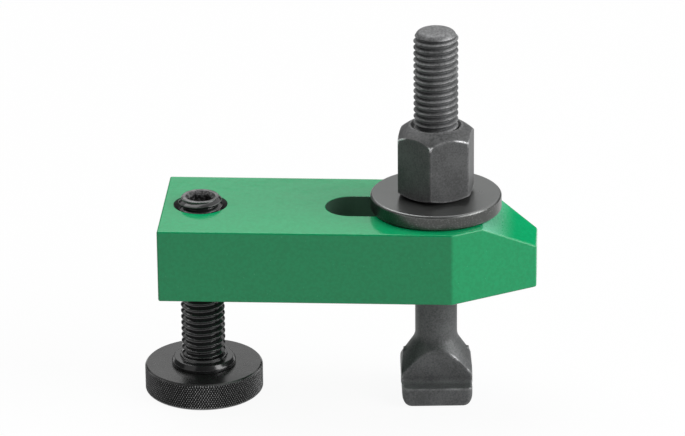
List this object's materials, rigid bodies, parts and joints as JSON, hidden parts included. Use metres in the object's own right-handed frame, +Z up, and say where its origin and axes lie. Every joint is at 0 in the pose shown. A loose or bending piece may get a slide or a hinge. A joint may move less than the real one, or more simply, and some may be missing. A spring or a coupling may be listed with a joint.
{
  "type": "strap clamp",
  "caption": "Height-adjustable strap clamp: tapered, slotted strap on a T-slot bolt with washer and tall hexagon nut, its heel carried by a socketed screw on a knurled foot.",
  "frame": {"origin": "on the table surface, under the bolt's axis, in the middle of the T head's base", "axes": "+X from the heel to the nose of the strap, +Y across the strap, +Z up along the bolt"},
  "size_m": [0.106, 0.04, 0.1035],
  "materials": {
    "green_paint": "semi-gloss enamel",
    "black_oxide": "glossy black oxide",
    "blued_steel": "satin dark steel",
    "phosphated_steel": "dull phosphated steel",
    "washer_steel": "satin dark steel"
  },
  "bodies": {
    "strap": {"clamp_strap": "green_paint"},
    "foot": {"knurled_foot": "blued_steel"},
    "screw": {"support_screw": "black_oxide"},
    "washer": {"washer": "washer_steel"},
    "nut": {"hex_nut": "phosphated_steel"},
    "bolt": {"t_slot_bolt": "phosphated_steel"}
  },
  "joints": [
    {"name": "heel_height", "type": "slide", "parent": "strap", "child": "foot", "axis": [0, 0, 1], "range_m": [-0.00962, 0.02187]},
    {"name": "screw_turn", "type": "hinge", "parent": "foot", "child": "screw", "pos_m": [-0.063, 0, 0], "axis": [0, 0, 1], "range_deg": [-1981, 4501]},
    {"name": "slot_travel", "type": "slide", "parent": "strap", "child": "washer", "axis": [1, 0, 0], "range_m": [-0.0225, 0.002]},
    {"name": "nut_turn", "type": "hinge", "parent": "washer", "child": "nut", "pos_m": [0, 0, 0.0577], "axis": [0, 0, 1], "range_deg": [-3241, 4681]},
    {"name": "bolt_lift", "type": "slide", "parent": "washer", "child": "bolt", "axis": [0, 0, 1], "range_m": [-0.02275, 0.01575]}
  ],
  "couplings": [
    {"joint": "screw_turn", "follows": "heel_height", "rad_per_m": 3590.4},
    {"joint": "nut_turn", "follows": "bolt_lift", "rad_per_m": -3590.4}
  ]
}
